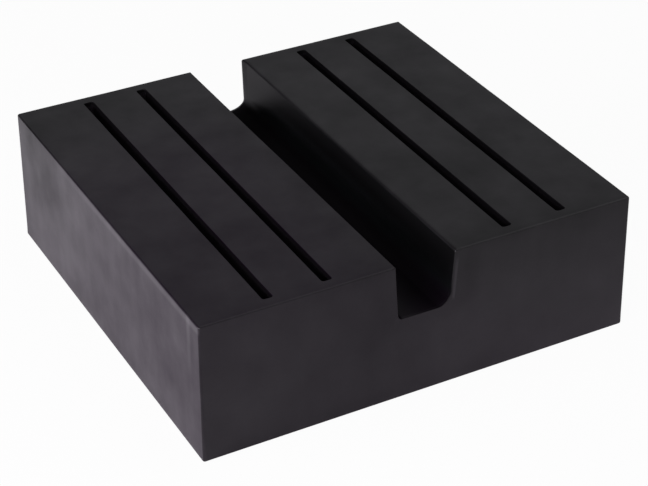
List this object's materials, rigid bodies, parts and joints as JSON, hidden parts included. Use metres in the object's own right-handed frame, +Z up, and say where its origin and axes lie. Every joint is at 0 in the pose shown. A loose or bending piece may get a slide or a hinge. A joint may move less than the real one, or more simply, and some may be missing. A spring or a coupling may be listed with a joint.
{
  "type": "car lift rubber pad",
  "caption": "Moulded rubber block for a vehicle lift: flat base, a groove along the top that clears the sill seam, and narrow blind slits in the lands on both sides.",
  "frame": {"origin": "middle of the base, where the pad rests on the lift", "axes": "+Z up through the pad, +Y along the sill groove, +X across the groove"},
  "size_m": [0.157, 0.152, 0.05],
  "materials": {
    "black_rubber": "solid black moulded rubber, satin, with faint release marks"
  },
  "bodies": {
    "root": {"lift_pad": "black_rubber"}
  },
  "joints": []
}
